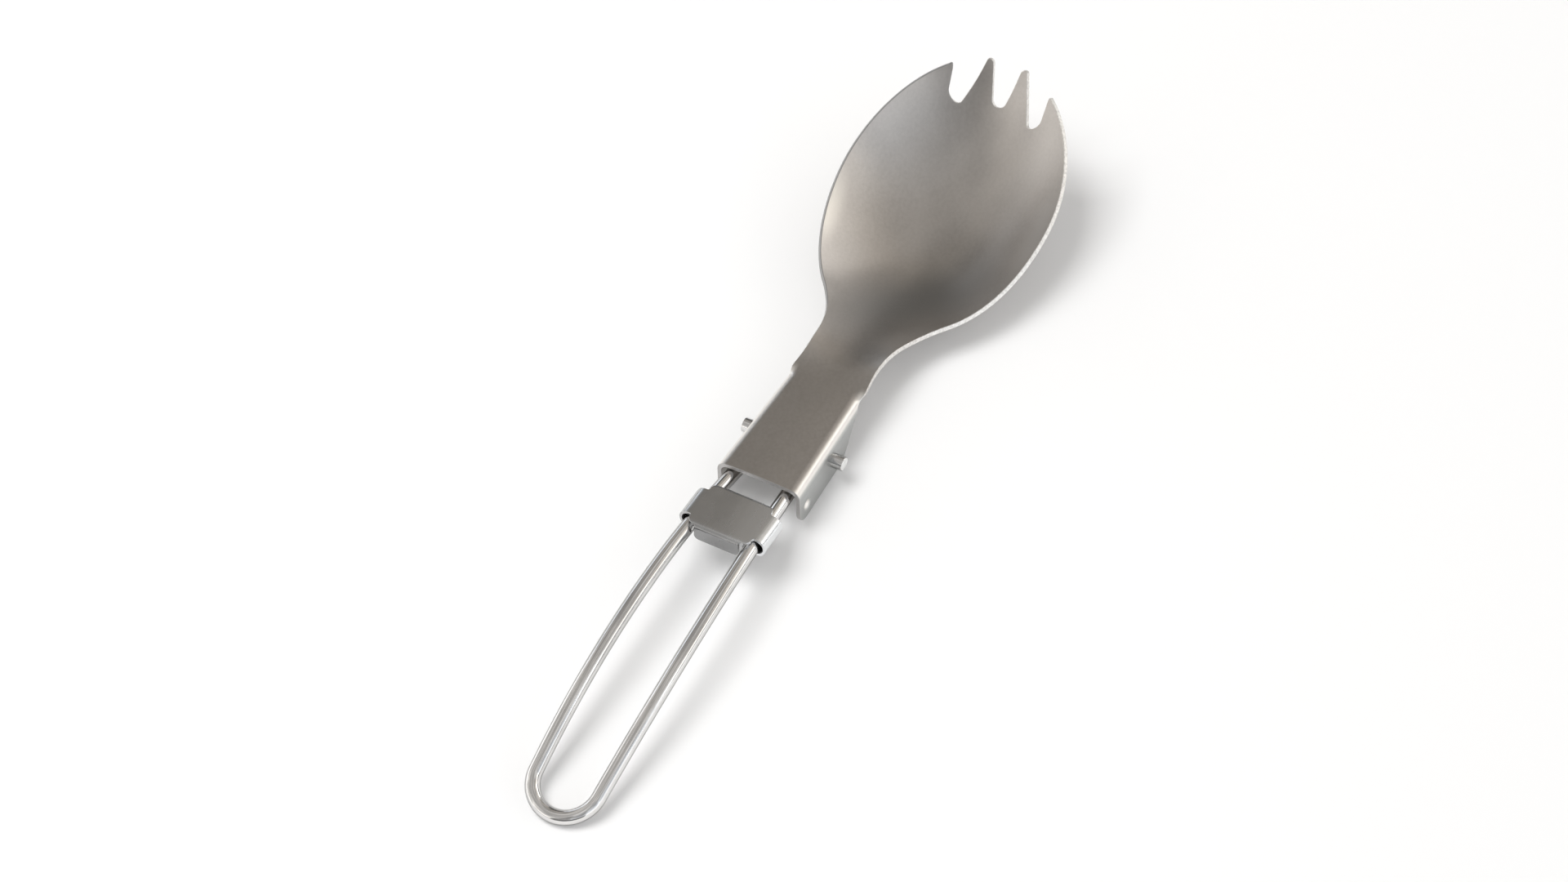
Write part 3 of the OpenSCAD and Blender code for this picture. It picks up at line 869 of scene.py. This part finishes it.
@dataclass
class SlidingClip(SheetPiece):
    """Thin clip: a plate with two lips and two bends that wrap the legs."""

    thickness: float = 0.5
    edge_r: float = 0.08
    name: str = "clip_sheet_metal"
    arch: HandleArch = field(default_factory=HandleArch)
    wire_r: float = WIRE_R
    clip_l: float = 10.2
    wrap_l: float = 6.0
    plate_w: float = 11.7
    chamfer: float = 1.4
    lip_fold_r: float = 0.9
    lip_h: float = 3.2
    rear_lip_w: float = 8.4
    front_lip_w: float = 7.2
    lip_corner_r: float = 0.9
    seam_w: float = 7.0
    gap: float = 0.15
    side_gap: float = 0.1
    clip_x: float = 9.3

    # Corners and notches of the blank
    brow: float = 0.55
    notch: Span = (0.35, 0.22)
    fillet_r: float = 0.3
    wing_corner_r: float = 0.5
    chamfer_turn: Span = (15.0, 75.0)
    corner_steps: int = 6
    wing_steps: int = 5
    small_steps: int = 4

    # Steps of the outline and points inside it
    outline_step: float = 0.3
    plate_run: Triple = (-7.75, 8.0, 0.5)
    flat_run: Triple = (0.25, 6.2, 0.5)
    bend_run: Triple = (6.3, 15.0, 0.3)
    lip_run: Triple = (-4.8, 5.0, 0.5)
    lip_rows: Span = (0.8, 0.14)
    apart: float = 0.1

    def half_h(self) -> float:
        """Height of the clip's upper face over the wire's middle."""
        return self.wire_r + self.gap + self.thickness

    def half_w(self) -> float:
        """Half width over the clip's bends."""
        return self.arch.legs_half_max + self.wire_r + self.side_gap + self.thickness

    def quarter(self, lip_w: float, sign: int) -> np.ndarray:
        """Outline of one quarter of the blank, from the lip's middle to the bend's end.

        Args:
            lip_w: width of the lip.
            sign: 1 for the front quarter, -1 for the rear one.

        Returns:
            Points on the side of positive s.
        """
        fold = self.clip_l / 2 - self.lip_fold_r
        end = fold + self.lip_fold_r * math.pi / 2 + self.lip_h - self.lip_fold_r
        reach = 2 * (self.half_w() - self.half_h()) + self.half_h() * math.pi - self.seam_w / 2
        brow, side, wing, half = fold + self.brow, self.plate_w / 2, self.wrap_l / 2, lip_w / 2
        lip_r, wing_r, m, r = self.lip_corner_r, self.wing_corner_r, self.chamfer, self.fillet_r
        long, wide = self.notch
        points = np.concatenate([
            [[end, 0.0]],
            arc((end - lip_r, half - lip_r), (lip_r, lip_r), 0, 90, self.corner_steps),
            [[brow + long, half]],
            arc((brow + long, half + wide), (long, wide), 270, 180, self.small_steps),
            [[brow, side - m]],
            arc((brow - m, side - m), (m, m), *self.chamfer_turn, self.small_steps),
            [[wing + r, side]],
            arc((wing + r, side + r), (r, r), 270, 180, self.small_steps),
            arc((wing - wing_r, reach - wing_r), (wing_r, wing_r), 0, 90, self.wing_steps),
            [[0.0, reach]],
        ])
        return points * np.array([sign, 1])

    def blank(self) -> Blank:
        """Flat blank of the clip.

        Returns:
            The blank.
        """
        front = self.quarter(self.front_lip_w, 1)
        rear = self.quarter(self.rear_lip_w, -1)[::-1]
        outline = closed(spaced(np.concatenate([front, rear[1:]]), self.outline_step))
        s = np.concatenate([np.arange(*self.flat_run), np.arange(*self.bend_run)])
        wide = np.meshgrid(np.arange(*self.plate_run), np.concatenate([-s[::-1], s]))
        beyond, step = self.lip_rows
        fine = np.arange(self.clip_l / 2 - self.lip_fold_r, self.clip_l / 2 + beyond, step)
        lips = np.meshgrid(np.concatenate([-fine, fine]), np.arange(*self.lip_run))
        inner = np.concatenate([np.stack([x.ravel(), y.ravel()], 1) for x, y in (wide, lips)])
        return Blank(outline, [], thinned(inner, self.apart))

    def fold(self, flat: np.ndarray) -> np.ndarray:
        """Outer face of the folded clip.

        Args:
            flat: points of the blank.

        Returns:
            Their places, one row each.
        """
        lip_r, wrap_r = self.lip_fold_r, self.half_h()
        x, lip_z = bent(flat[:, 0], self.clip_l / 2 - lip_r, lip_r, math.pi / 2)
        y, wrap_z = bent(flat[:, 1], self.half_w() - wrap_r, wrap_r, math.pi)
        z = lip_z + wrap_z + wrap_r
        lean = math.asin((self.arch.arch_top_x - self.clip_x) / self.arch.arch_r)
        c, s = math.cos(lean), math.sin(lean)
        rise = float(self.arch.height(np.array(-self.clip_x)))
        return np.stack([x * c + z * s - self.clip_x, y, z * c - x * s + rise], 1)


@dataclass(frozen=True)
class PaintedLightSpot:
    """Soft spot of painted light or painted shade on the sheet's colour, in millimetres on the table.

    It is full where the upward part of the face's direction is at least upper_from.
    """

    middle: Triple
    reach: Triple
    turn_deg: float
    shade: Triple
    upper_from: float = 0.3


@dataclass(frozen=True)
class Grain:
    """Noise over a surface: cells in a millimetre, octaves, stretch, and depth of its bump in mm."""

    per_mm: float
    detail: float
    stretch: Triple = (1.0, 1.0, 1.0)
    deep: float = 0.0


class NodeDesk:
    """Small helper that lays out the nodes of one material."""

    def __init__(self, name: str, metallic: float) -> None:
        """Starts a material with its shader and its coordinates.

        Args:
            name: name of the material.
            metallic: 1 for bare metal, 0 for the rest.
        """
        self.material = bpy.data.materials.new(name)
        self.material.use_nodes = True
        self.tree = self.material.node_tree
        self.shader = self.tree.nodes["Principled BSDF"]
        self.shader.inputs["Metallic"].default_value = metallic
        coordinates = self.node("TexCoord")
        self.place = coordinates.outputs["Object"]
        self.facing = coordinates.outputs["Normal"]

    def node(self, kind: str) -> bpy.types.Node:
        """New shader node of a kind."""
        return self.tree.nodes.new("ShaderNode" + kind)

    def link(self, a: Socket, b: Socket) -> None:
        """Joins two sockets."""
        self.tree.links.new(a, b)

    def noise(self, grain: Grain) -> Socket:
        """Noise over the surface.

        Args:
            grain: its scale, octaves and stretch.

        Returns:
            The noise value's socket.
        """
        mapping, node = self.node("Mapping"), self.node("TexNoise")
        mapping.inputs["Scale"].default_value = [v * grain.per_mm / MM for v in grain.stretch]
        node.inputs["Scale"].default_value = 1.0
        node.inputs["Detail"].default_value = grain.detail
        self.link(self.place, mapping.inputs["Vector"])
        self.link(mapping.outputs["Vector"], node.inputs["Vector"])
        return node.outputs["Fac"]

    def spread(self, value: Socket, low: float, high: float) -> Socket:
        """A noise value mapped to a range.

        Args:
            value: socket of the noise.
            low: result where the noise is low.
            high: result where it is high.

        Returns:
            The mapped value's socket.
        """
        node = self.node("MapRange")
        for name, number in zip(("From Min", "From Max", "To Min", "To Max"), (*SPREAD_OVER, low, high)):
            node.inputs[name].default_value = number
        self.link(value, node.inputs["Value"])
        return node.outputs["Result"]

    def tint(self, value: Socket, low: Triple, high: Triple) -> Socket:
        """Colour between two shades by a noise value.

        Args:
            value: socket of the noise.
            low: colour where it is low.
            high: colour where it is high.

        Returns:
            The colour's socket.
        """
        node = self.node("ValToRGB")
        for stop, position, shade in zip(node.color_ramp.elements, TINT_OVER, (low, high)):
            stop.position = position
            stop.color = (*shade, 1)
        self.link(value, node.inputs["Fac"])
        return node.outputs["Color"]

    def math(self, operation: str, *values: Socket | float) -> Socket:
        """Result of a math node.

        Args:
            operation: name of the operation.
            values: sockets or plain numbers.

        Returns:
            The result's socket.
        """
        node = self.node("Math")
        node.operation = operation
        for k, value in enumerate(values):
            if isinstance(value, (int, float)):
                node.inputs[k].default_value = value
            else:
                self.link(value, node.inputs[k])
        return node.outputs[0]

    def length(self, vector: Socket) -> Socket:
        """Length of a vector.

        Args:
            vector: socket of the vector.

        Returns:
            The length's socket.
        """
        node = self.node("VectorMath")
        node.operation = "LENGTH"
        self.link(vector, node.inputs[0])
        return node.outputs["Value"]

    def part(self, vector: Socket, axis: str) -> Socket:
        """One part of a vector.

        Args:
            vector: socket of the vector.
            axis: X, Y or Z.

        Returns:
            The part's socket.
        """
        node = self.node("SeparateXYZ")
        self.link(vector, node.inputs[0])
        return node.outputs[axis]

    def aside(self, taper: float) -> Socket:
        """Distance from the middle plane, plus a taper times the place along X."""
        off = self.math("ABSOLUTE", self.part(self.place, "Y"))
        return self.math("MULTIPLY_ADD", self.part(self.place, "X"), taper, off)

    def ramp(self, value: Socket, start: float, end: float, unit_m: float = MM) -> Socket:
        """Soft ramp from 0 to 1 over a place.

        Args:
            value: socket of the place.
            start: place where it is 0.
            end: place where it is 1.
            unit_m: unit of both places in metres, a millimetre unless given.

        Returns:
            The ramp's socket.
        """
        node = self.node("MapRange")
        node.interpolation_type = "SMOOTHSTEP"
        node.inputs["From Min"].default_value = start * unit_m
        node.inputs["From Max"].default_value = end * unit_m
        self.link(value, node.inputs["Value"])
        return node.outputs["Result"]

    def spot(self, spot: PaintedLightSpot) -> Socket:
        """Share of a spot of painted light or shade on the sheet's upper face, 1 at its middle and 0 at its
        reach.

        Args:
            spot: the spot.

        Returns:
            The share's socket.
        """
        mapping = self.node("Mapping")
        mapping.vector_type = "TEXTURE"
        mapping.inputs["Location"].default_value = [v * MM for v in spot.middle]
        mapping.inputs["Rotation"].default_value = (0, 0, math.radians(spot.turn_deg))
        mapping.inputs["Scale"].default_value = [v * MM for v in spot.reach]
        self.link(self.place, mapping.inputs["Vector"])
        near = self.ramp(self.length(mapping.outputs["Vector"]), 1.0, 0.0, 1.0)
        upper = self.ramp(self.part(self.facing, "Z"), 0.0, spot.upper_from, 1.0)
        return self.math("MULTIPLY", upper, near)

    def mix(self, share: Socket, base: Socket, over: Triple) -> Socket:
        """Colour that goes from a base to another shade by a share.

        Args:
            share: socket of the share, 0 to 1.
            base: socket of the first colour.
            over: the other colour.

        Returns:
            The mixed colour's socket.
        """
        node = self.node("Mix")
        node.data_type = "RGBA"
        self.link(share, node.inputs[0])
        self.link(base, node.inputs[6])
        node.inputs[7].default_value = (*over, 1)
        return node.outputs[2]

    def bumps(self, heights: list[tuple[Socket, float]]) -> None:
        """Chains bumps into the shader's normal.

        Args:
            heights: socket and depth in millimetres of each bump.
        """
        last = None
        for socket, deep in heights:
            node = self.node("Bump")
            node.inputs["Distance"].default_value = deep * MM
            self.link(socket, node.inputs["Height"])
            if last is not None:
                self.link(last.outputs["Normal"], node.inputs["Normal"])
            last = node
        self.link(last.outputs["Normal"], self.shader.inputs["Normal"])


@dataclass(frozen=True)
class PaintedWash:
    """Painted light or shade that takes over along one axis, from a first place to a second, in
    millimetres.
    """

    axis: str
    over: Span
    shade: Triple


@dataclass(frozen=True)
class MetalFinish:
    """Finish of a metal: a cloudy tint, washes of painted light and shade over it, and grains, the last of
    which sets the roughness.
    """

    name: str
    dark: Triple
    light: Triple
    rough: Span
    cloud: Grain
    grains: tuple[Grain, ...]
    painted_washes: tuple[PaintedWash, ...] = ()
    rim_tint: float = 1.0

    def colour(self, desk: NodeDesk) -> Socket:
        """Colour of the metal.

        Args:
            desk: desk of the material.

        Returns:
            The colour's socket.
        """
        colour = desk.tint(desk.noise(self.cloud), self.dark, self.light)
        for wash in self.painted_washes:
            colour = desk.mix(desk.ramp(desk.part(desk.place, wash.axis), *wash.over), colour, wash.shade)
        return colour

    def material(self) -> bpy.types.Material:
        """Builds the finish.

        Returns:
            The material.
        """
        desk = NodeDesk(self.name, 1.0)
        grains = [desk.noise(grain) for grain in self.grains]
        desk.shader.inputs["Specular Tint"].default_value = (self.rim_tint,) * 3 + (1,)
        desk.link(self.colour(desk), desk.shader.inputs["Base Color"])
        desk.link(desk.spread(grains[-1], *self.rough), desk.shader.inputs["Roughness"])
        desk.bumps([(socket, grain.deep) for socket, grain in zip(grains, self.grains)])
        return desk.material


@dataclass(frozen=True)
class BlastedTitanium(MetalFinish):
    """Warm grey titanium, bead blasted to an even satin with a fine speckle."""

    name: str = "blasted_titanium"
    dark: Triple = (0.452, 0.426, 0.400)
    light: Triple = (0.492, 0.463, 0.435)
    rough: Span = (0.33, 0.38)
    cloud: Grain = Grain(0.09, 4.0)
    grains: tuple[Grain, ...] = (Grain(4.0, 2.0, deep=0.006), Grain(1.6, 3.0, deep=0.010))
    fleck_shade: Triple = (0.66, 0.63, 0.60)
    fleck_share: float = 0.22
    channel_to: Span = (14.0, 12.0)
    channel_taper: float = 0.0316
    # Painted highlight along the channel's folds, and painted sheen on its flanges
    fold_highlight_at: Span = (6.1, 6.9)
    fold_highlight_shade: Triple = (0.84, 0.81, 0.77)
    flange_sheen_at: Span = (7.2, 7.5)
    flange_sheen_shade: Triple = (0.48, 0.487, 0.478)
    painted_light_spots: tuple[PaintedLightSpot, ...] = (
        # Painted shade: a dark band across the bowl's rear wall
        PaintedLightSpot((38.3, -3.2, 2.0), (23.0, 12.5, 18.0), -41.0, (0.378, 0.375, 0.368)),
        # Painted highlights: lighter patches by the throat on the -Y side, on the +Y inner rim and on the
        # -Y wall
        PaintedLightSpot((24.0, -6.0, 7.0), (9.0, 6.0, 12.0), -20.0, (0.66, 0.63, 0.60)),
        PaintedLightSpot((47.5, 18.5, 8.0), (12.0, 3.2, 9.0), 12.0, (0.70, 0.67, 0.62)),
        PaintedLightSpot((55.4, -18.5, 10.4), (14.0, 5.0, 10.0), 0.0, (0.62, 0.60, 0.575)),
    )

    def colour(self, desk: NodeDesk) -> Socket:
        """Colour of the blasted sheet: flecks, a painted highlight along the folds, a painted sheen that
        makes the flanges lighter and greyer, and spots of painted light and shade.

        Args:
            desk: desk of the material.

        Returns:
            The colour's socket.
        """
        fleck = desk.spread(desk.noise(self.grains[-1]), 0.0, self.fleck_share)
        colour = desk.mix(fleck, super().colour(desk), self.fleck_shade)
        aside = desk.aside(self.channel_taper)
        channel = desk.ramp(desk.part(desk.place, "X"), *self.channel_to)
        # Painted highlight on the folds, then painted sheen on the flanges, only round the channel
        for span, shade in ((self.fold_highlight_at, self.fold_highlight_shade), (self.flange_sheen_at, self.flange_sheen_shade)):
            colour = desk.mix(desk.math("MULTIPLY", channel, desk.ramp(aside, *span)), colour, shade)
        # Spots of painted light and painted shade over the colour
        for spot in self.painted_light_spots:
            colour = desk.mix(desk.spot(spot), colour, spot.shade)
        return colour


@dataclass(frozen=True)
class CutTitanium(MetalFinish):
    """Bright sheared edge of the titanium sheet, mottled, with painted shade that darkens it round the
    channel and on its +Y side.
    """

    name: str = "cut_titanium_edge"
    dark: Triple = (0.64, 0.62, 0.59)
    light: Triple = (0.86, 0.84, 0.81)
    rough: Span = (0.30, 0.45)
    cloud: Grain = Grain(2.2, 3.0, deep=0.03)
    grains: tuple[Grain, ...] = (cloud,)
    # Painted shade: darker cut edges round the channel, and on the +Y side
    painted_washes: tuple[PaintedWash, ...] = (
        PaintedWash("X", (12.0, 9.0), (0.50, 0.49, 0.48)),
        PaintedWash("Y", (6.5, 10.0), (0.36, 0.355, 0.35)),
    )


@dataclass(frozen=True)
class PolishedWire(MetalFinish):
    """Bright drawn steel wire with faint marks of handling."""

    name: str = "polished_wire"
    dark: Triple = (0.68, 0.67, 0.66)
    light: Triple = (0.80, 0.79, 0.78)
    rough: Span = (0.12, 0.17)
    cloud: Grain = Grain(0.12, 3.0)
    grains: tuple[Grain, ...] = (Grain(2.5, 2.0, (0.04, 1.0, 1.0), 0.0001),)
    rim_tint: float = 0.3


@dataclass(frozen=True)
class CutWire(MetalFinish):
    """Bright cut end of the wire."""

    name: str = "cut_wire_end"
    dark: Triple = (0.78, 0.78, 0.77)
    light: Triple = (0.92, 0.92, 0.91)
    rough: Span = (0.3, 0.4)
    cloud: Grain = Grain(1.5, 3.0, deep=0.02)
    grains: tuple[Grain, ...] = (cloud,)


@dataclass(frozen=True)
class SatinSpring(MetalFinish):
    """Cool grey spring sheet with a soft satin face, painted lighter toward -Y and with painted shade on
    its rear lip.
    """

    name: str = "satin_spring_sheet"
    dark: Triple = (0.50, 0.50, 0.50)
    light: Triple = (0.55, 0.55, 0.55)
    rough: Span = (0.24, 0.28)
    cloud: Grain = Grain(0.2, 4.0)
    grains: tuple[Grain, ...] = (Grain(1.0, 2.0, (0.2, 1.0, 1.0), 0.0003),)
    # Painted light toward -Y, and painted shade on the rear lip
    painted_washes: tuple[PaintedWash, ...] = (
        PaintedWash("Y", (2.5, -6.5), (0.74, 0.75, 0.76)),
        PaintedWash("X", (-25.3, -26.2), (0.30, 0.30, 0.30)),
    )


@dataclass(frozen=True)
class PaleFloor:
    """Matt white paper floor, which glows white where the lamps no longer reach."""

    shade: float = 0.75
    rough: float = 0.9
    lift: float = 0.10
    fade_over: Span = (450.0, 1100.0)

    def material(self) -> bpy.types.Material:
        """Builds the finish, whose glow only the camera, mirrors and glass see.

        Returns:
            The material.
        """
        desk = NodeDesk("pale_floor", 0.0)
        inputs = desk.shader.inputs
        inputs["Base Color"].default_value = (self.shade,) * 3 + (1,)
        inputs["Roughness"].default_value = self.rough
        inputs["Specular IOR Level"].default_value = 0.0
        inputs["Emission Color"].default_value = (1, 1, 1, 1)
        rays = desk.node("LightPath").outputs
        seen = desk.math("MAXIMUM", rays["Is Camera Ray"], rays["Is Glossy Ray"])
        seen = desk.math("MAXIMUM", seen, rays["Is Transmission Ray"])
        far = desk.ramp(desk.length(desk.place), *self.fade_over)
        level = desk.math("MULTIPLY_ADD", far, 1 - self.lift, self.lift)
        desk.link(desk.math("MULTIPLY", seen, level), inputs["Emission Strength"])
        return desk.material


@dataclass(frozen=True)
class SoftBox:
    """One softbox of the studio, placed by its direction from the spork.

    Warmth tints it: 0 is neutral, 1 warm and -1 cool.
    """

    name: str
    azimuth: float
    elevation: float
    width: float
    height: float
    radiance: float
    warmth: float = 0.0
    mirrored: bool = True
    red_share: float = 0.07
    blue_share: float = 0.09

    def build(self) -> None:
        """Hangs the softbox, facing the spork."""
        lamp = bpy.data.lights.new(self.name, "AREA")
        lamp.shape = "RECTANGLE"
        lamp.size = self.width
        lamp.size_y = self.height
        lamp.energy = self.radiance * math.pi * self.width * self.height
        lamp.color = (1 + self.red_share * self.warmth, 1.0, 1 - self.blue_share * self.warmth)
        holder = bpy.data.objects.new(self.name, lamp)
        az, el = math.radians(self.azimuth), math.radians(self.elevation)
        aim = Vector((math.cos(el) * math.cos(az), math.cos(el) * math.sin(az), math.sin(el)))
        holder.location = aim * TENT_R
        holder.rotation_euler = aim.to_track_quat("Z", "Y").to_euler()
        holder.visible_camera = False
        holder.visible_glossy = self.mirrored
        bpy.context.scene.collection.objects.link(holder)


@dataclass(frozen=True)
class PanelRing:
    """Ring of diffusing panels of the light tent, evenly spaced from a first azimuth on."""

    name: str
    elevation: float
    wide_deg: float
    high_deg: float
    levels: tuple[float, ...]
    warmth: tuple[float, ...]
    first_azimuth: float = -180.0

    def build(self) -> None:
        """Hangs each panel of the ring that gives light."""
        width, height = (2 * TENT_R * math.tan(math.radians(a / 2)) for a in (self.wide_deg, self.high_deg))
        for k, (level, warmth) in enumerate(zip(self.levels, self.warmth)):
            azimuth = self.first_azimuth + k * 360 / len(self.levels)
            if level > 0:
                SoftBox(f"{self.name}_{k}", azimuth, self.elevation, width, height, level, warmth).build()


@dataclass
class Studio:
    """Camera, floor and the light tent round the spork."""

    camera_at: Triple = (-0.3321059, -0.2058188, 0.4998674)
    camera_turn: Triple = (38.2685164, 2.60202556, -61.28711175)
    lens: float = 85.7694
    sensor_w: float = 36.0
    near: float = 0.01
    world_level: float = 0.1
    floor_size: float = 6.0
    key: SoftBox = SoftBox("shadow_key", 114.0, 67.0, 0.7, 0.7, 6.75, 0.0, False)
    rings: tuple[PanelRing, ...] = (
        PanelRing(
            "floor_ring", 4.0, 30.0, 8.0,
            (0.0, 0.0, 1.28, 1.08, 1.54, 0.05, 0.0, 0.0, 0.0, 1.73, 1.73, 0.57),
            (0.0, 0.0, -0.1, 0.0, 0.0, 0.0, 0.0, 0.0, 0.0, 0.1, 0.3, 0.2),
        ),
        PanelRing(
            "low_ring", 12.0, 30.0, 8.0,
            (0.09, 0.04, 1.29, 1.15, 0.0, 0.12, 0.51, 0.08, 1.58, 1.42, 0.65, 1.33),
            (0.1, -0.3, -0.2, -0.1, 0.1, 0.0, 0.1, -0.6, -0.5, 0.1, 0.2, 0.3),
        ),
        PanelRing(
            "mid_ring", 20.0, 30.0, 8.0,
            (0.18, 0.73, 1.1, 1.26, 1.42, 2.33, 0.7, 0.0, 0.9, 0.81, 0.74, 0.92),
            (0.1, -0.5, -0.5, -0.2, 0.1, 0.1, 0.1, 0.0, -1.0, 0.2, 0.3, 0.4),
        ),
        PanelRing(
            "upper_ring", 30.0, 30.0, 12.0,
            (0.3, 0.22, 0.69, 0.69, 1.28, 1.34, 0.25, 0.0, 0.19, 0.51, 0.62, 0.52),
            (0.3, -0.4, -1.0, -1.2, 0.6, 0.3, 0.8, 0.0, 0.0, 0.3, 0.5, 0.4),
        ),
        PanelRing(
            "high_ring", 44.0, 34.0, 18.0,
            (0.08, 0.27, 0.33, 0.37, 0.28, 0.43, 0.18, 0.15, 0.18, 0.31, 0.35, 0.31),
            (0.1, -0.1, -0.4, -0.4, 1.1, 1.1, 1.6, 1.7, 0.9, 0.5, 0.5, 0.3),
        ),
        PanelRing("top_ring", 66.0, 50.0, 24.0, (0.39, 0.35, 0.24, 0.35), (0.0, 0.5, 0.6, 0.4), -135.0),
        PanelRing("crown", 90.0, 30.0, 30.0, (0.33,), (0.6,)),
    )

    def place_camera(self) -> None:
        """Sets the camera at the photo's viewpoint."""
        camera = bpy.data.cameras.new("camera")
        camera.lens = self.lens
        camera.sensor_width = self.sensor_w
        camera.clip_start = self.near
        holder = bpy.data.objects.new("camera", camera)
        holder.location = self.camera_at
        holder.rotation_euler = Euler([math.radians(a) for a in self.camera_turn])
        bpy.context.scene.collection.objects.link(holder)
        bpy.context.scene.camera = holder

    def light(self) -> None:
        """Sets the world, the shadow's lamp and the rings of panels."""
        world = bpy.data.worlds.new("studio")
        world.use_nodes = True
        background = world.node_tree.nodes["Background"]
        background.inputs["Color"].default_value = (1, 1, 1, 1)
        background.inputs["Strength"].default_value = self.world_level
        bpy.context.scene.world = world
        self.key.build()
        for ring_of_panels in self.rings:
            ring_of_panels.build()

    def lay_floor(self) -> None:
        """Lays the floor under the spork."""
        half = self.floor_size / 2
        corners = [(-half, -half, 0), (half, -half, 0), (half, half, 0), (-half, half, 0)]
        mesh = bpy.data.meshes.new("floor")
        mesh.from_pydata(corners, [], [(0, 1, 2, 3)])
        mesh.materials.append(PaleFloor().material())
        floor = bpy.data.objects.new("floor", mesh)
        bpy.context.scene.collection.objects.link(floor)

    def build(self) -> None:
        """Sets up everything round the spork."""
        self.place_camera()
        self.light()
        self.lay_floor()
        bpy.context.scene.view_settings.view_transform = "Standard"


@dataclass
class Dresser:
    """Puts a finished piece on its body in place of its CAD node."""

    body: Body
    slot: Slot
    node: str
    finishes: list[MetalFinish]

    def dress(self, shape: SheetPiece | WireHandle) -> None:
        """Builds the mesh, gives it its finish and hands it to the frame.

        Args:
            shape: the piece's own sizes and mesh.
        """
        skin = shape.mesh()
        piece = make_piece(shape.name, skin, [finish.material() for finish in self.finishes])
        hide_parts(self.node)
        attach(piece, self.body.value)
        log.info("%s: %d faces, rides on %s", shape.name, len(skin.faces), self.body.value)


def main() -> None:
    """Builds the studio and the three pieces, and reports each."""
    logging.basicConfig(level=logging.INFO, format="%(message)s")
    Studio().build()
    titanium, steel = [BlastedTitanium(), CutTitanium()], [PolishedWire(), CutWire()]
    Dresser(Body.HEAD, Slot.SHEET, "head", titanium).dress(SporkHead())
    Dresser(Body.HANDLE, Slot.WIRE, "wire_handle", steel).dress(WireHandle())
    Dresser(Body.CLIP, Slot.CLIP, "slide_lock", [SatinSpring()]).dress(SlidingClip())


if __name__ == "__main__":
    main()
